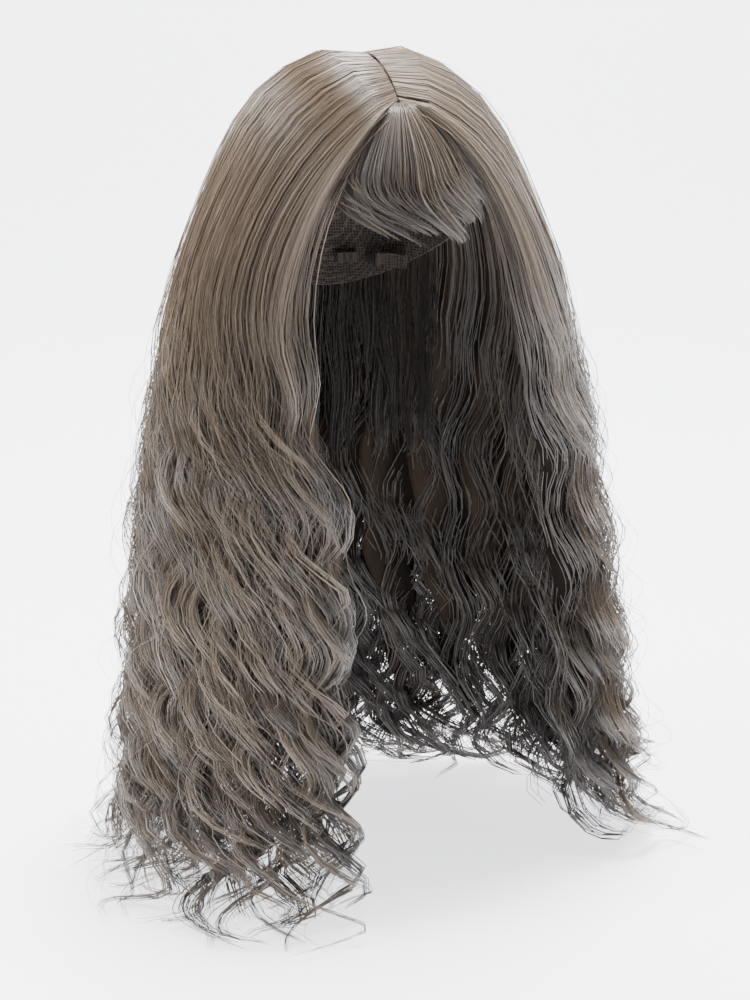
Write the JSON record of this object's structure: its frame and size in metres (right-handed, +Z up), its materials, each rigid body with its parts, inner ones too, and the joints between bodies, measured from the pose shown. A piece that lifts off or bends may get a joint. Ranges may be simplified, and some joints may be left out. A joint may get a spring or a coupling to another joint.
{
  "type": "costume wig",
  "caption": "Long wavy costume wig: stretch cap with sewn wefts, ribbons, nape adjusters and ear tabs, crown hair, side-swept fringe and hanging locks.",
  "frame": {"origin": "highest point of the cap's inner face, where it seats on the top of the wearer's head", "axes": "+Z up along the hanging hair, face looking along -Y, wearer's left along +X"},
  "size_m": [0.4296, 0.3339, 0.558],
  "materials": {
    "hair_length": "long wavy heat-set synthetic fibre, ash brown, soft sheen",
    "hair_crown": "straight synthetic fibre, ash brown, silky sheen",
    "hair_fringe": "straight synthetic fibre, darker where it is shaded",
    "hair_inner": "short inner fibre, dark",
    "weft_thread": "machine-sewn weft tracks",
    "cap_net": "open stretch rose net",
    "elastic": "ribbed elastic",
    "ribbon": "woven ribbon",
    "parting_skin": "skin-coloured mono mesh",
    "moulded_plastic": "small moulded hook and stay"
  },
  "bodies": {
    "cap": {"crown_net": "cap_net", "front_band": "elastic", "nape_band": "elastic", "centre_ribbon": "ribbon", "cross_ribbon": "ribbon", "parting_patch": "parting_skin", "parting_binding": "ribbon", "fringe_track": "weft_thread", "crown_hair_back": "hair_crown", "fringe_root": "hair_crown", "weft_track_1": "weft_thread", "weft_track_2": "weft_thread", "weft_track_3": "weft_thread", "weft_track_4": "weft_thread", "weft_track_5": "weft_thread", "weft_track_6": "weft_thread", "weft_track_7": "weft_thread", "weft_track_8": "weft_thread", "weft_track_9": "weft_thread", "side_ribbon_right": "ribbon", "temple_track_right": "weft_thread", "casing_right": "cap_net", "loop_tape_right": "elastic", "crown_hair_right": "hair_crown", "nape_hair_right": "hair_inner", "side_ribbon_left": "ribbon", "temple_track_left": "weft_thread", "casing_left": "cap_net", "loop_tape_left": "elastic", "crown_hair_left": "hair_crown", "nape_hair_left": "hair_inner"},
    "fringe": {"fringe_lock_1": "hair_fringe", "fringe_lock_2": "hair_fringe", "fringe_lock_3": "hair_fringe"},
    "front_hair_right": {"front_lock_right_1": "hair_length", "front_lock_right_2": "hair_length"},
    "side_hair_right": {"side_lock_right_1": "hair_length", "side_lock_right_2": "hair_length"},
    "back_hair_right": {"back_lock_right_1": "hair_length", "back_lock_right_2": "hair_length", "back_lock_right_3": "hair_length"},
    "adjuster_right": {"strap_right": "elastic"},
    "hook_right": {"hook_right": "moulded_plastic"},
    "ear_tab_right": {"ear_tab_right": "elastic", "ear_stay_right": "moulded_plastic"},
    "front_hair_left": {"front_lock_left_1": "hair_length", "front_lock_left_2": "hair_length"},
    "side_hair_left": {"side_lock_left_1": "hair_length", "side_lock_left_2": "hair_length"},
    "back_hair_left": {"back_lock_left_1": "hair_length", "back_lock_left_2": "hair_length", "back_lock_left_3": "hair_length"},
    "adjuster_left": {"strap_left": "elastic"},
    "hook_left": {"hook_left": "moulded_plastic"},
    "ear_tab_left": {"ear_tab_left": "elastic", "ear_stay_left": "moulded_plastic"}
  },
  "joints": [
    {"name": "front_right_swing", "type": "hinge", "parent": "cap", "child": "front_hair_right", "pos_m": [-0.09159, -0.06253, -0.08877], "axis": [-0.4965, 0.8681, 0], "range_deg": [0, 25]},
    {"name": "side_right_swing", "type": "hinge", "parent": "cap", "child": "side_hair_right", "pos_m": [-0.10719, 0.01438, -0.08877], "axis": [0.1117, 0.9937, 0], "range_deg": [0, 30]},
    {"name": "back_right_swing", "type": "hinge", "parent": "cap", "child": "back_hair_right", "pos_m": [-0.065, 0.09424, -0.08877], "axis": [0.772, 0.6356, 0], "range_deg": [0, 25]},
    {"name": "front_left_swing", "type": "hinge", "parent": "cap", "child": "front_hair_left", "pos_m": [0.10636, -0.02049, -0.08877], "axis": [-0.1593, -0.9872, 0], "range_deg": [0, 25]},
    {"name": "side_left_swing", "type": "hinge", "parent": "cap", "child": "side_hair_left", "pos_m": [0.09446, 0.05721, -0.08877], "axis": [0.4524, -0.8918, 0], "range_deg": [0, 30]},
    {"name": "back_left_swing", "type": "hinge", "parent": "cap", "child": "back_hair_left", "pos_m": [0.02795, 0.11398, -0.08877], "axis": [0.9597, -0.281, 0], "range_deg": [0, 25]},
    {"name": "fringe_lift", "type": "hinge", "parent": "cap", "child": "fringe", "pos_m": [0, -0.09399, -0.04441], "axis": [-1, 0, 0], "range_deg": [0, 40]},
    {"name": "adjuster_left_slide", "type": "hinge", "parent": "cap", "child": "adjuster_left", "pos_m": [0, 0.03288, -0.143], "axis": [0, 0, 1], "range_deg": [0, 14]},
    {"name": "hook_left_flip", "type": "hinge", "parent": "adjuster_left", "child": "hook_left", "pos_m": [0.03106, 0.07298, -0.143], "axis": [0, 0, 1], "range_deg": [0, 60]},
    {"name": "ear_tab_left_flex", "type": "hinge", "parent": "cap", "child": "ear_tab_left", "pos_m": [0.07057, -0.03552, -0.07682], "axis": [0.3619, 0.7621, -0.5369], "range_deg": [0, 20]},
    {"name": "adjuster_right_slide", "type": "hinge", "parent": "cap", "child": "adjuster_right", "pos_m": [0, 0.03288, -0.143], "axis": [0, 0, -1], "range_deg": [0, 14]},
    {"name": "hook_right_flip", "type": "hinge", "parent": "adjuster_right", "child": "hook_right", "pos_m": [-0.03106, 0.07298, -0.143], "axis": [0, 0, -1], "range_deg": [0, 60]},
    {"name": "ear_tab_right_flex", "type": "hinge", "parent": "cap", "child": "ear_tab_right", "pos_m": [-0.07057, -0.03552, -0.07682], "axis": [0.3619, -0.7621, 0.5369], "range_deg": [0, 20]}
  ]
}
